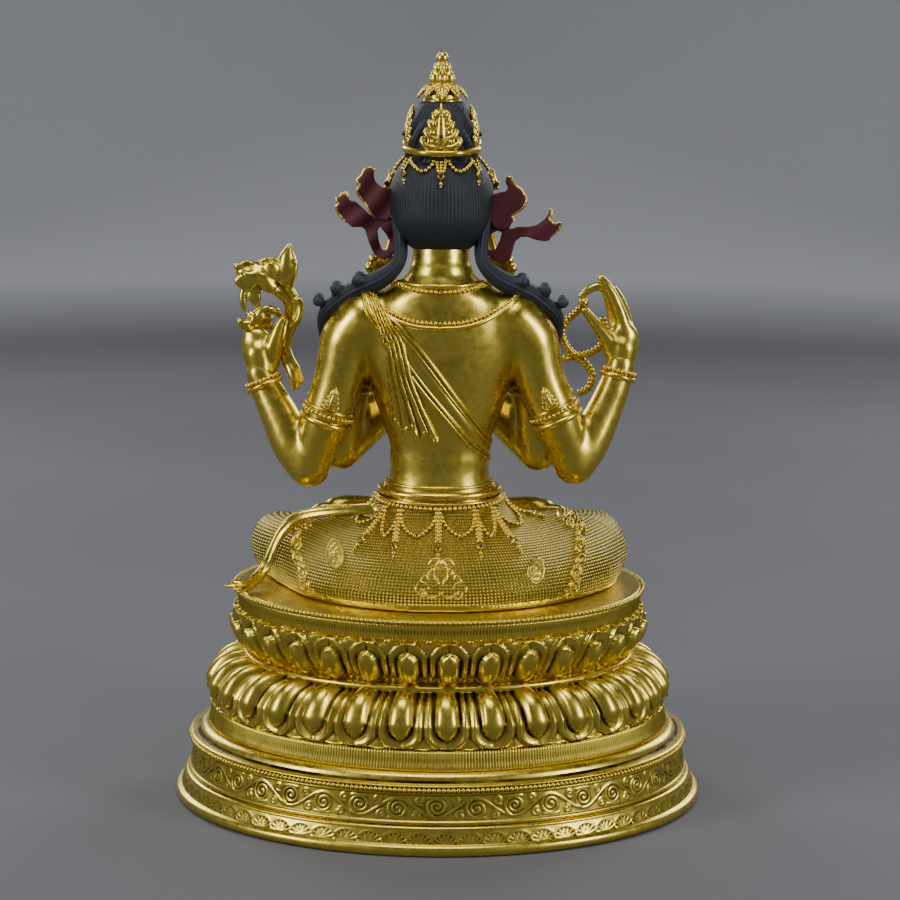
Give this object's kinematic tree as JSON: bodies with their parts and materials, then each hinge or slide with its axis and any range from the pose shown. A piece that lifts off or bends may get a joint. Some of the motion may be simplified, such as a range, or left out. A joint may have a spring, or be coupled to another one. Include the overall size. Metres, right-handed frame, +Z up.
{
  "type": "avalokiteshvara statue",
  "caption": "Seated four-armed Avalokiteshvara on a double lotus throne, in gilt copper with painted hair and ribbons, holding a lotus and a rosary.",
  "frame": {"origin": "middle of the throne's underside", "axes": "+Z up, the figure faces -Y, its left side is +X"},
  "size_m": [0.264, 0.2164, 0.3703],
  "materials": {
    "throne_gold": "worn gilding, satin, dark in the recesses",
    "figure_gold": "burnished gilding",
    "ornament_gold": "bright gilding over chased relief",
    "ribbon_paint": "matt dark red paint with gilt edges",
    "hair_paint": "matt blue-black mineral paint over copper"
  },
  "bodies": {
    "root": {"base_foot": "throne_gold", "plinth": "throne_gold", "lower_lotus": "throne_gold", "upper_lotus": "throne_gold", "figure": "figure_gold", "crown": "ornament_gold", "topknot_finial": "ornament_gold", "ribbon_left": "ribbon_paint", "ribbon_right": "ribbon_paint", "ear_flower_left": "ornament_gold", "ear_flower_right": "ornament_gold", "lotus_flower": "ornament_gold", "rosary": "ornament_gold", "sash_tail": "ornament_gold"}
  },
  "joints": []
}
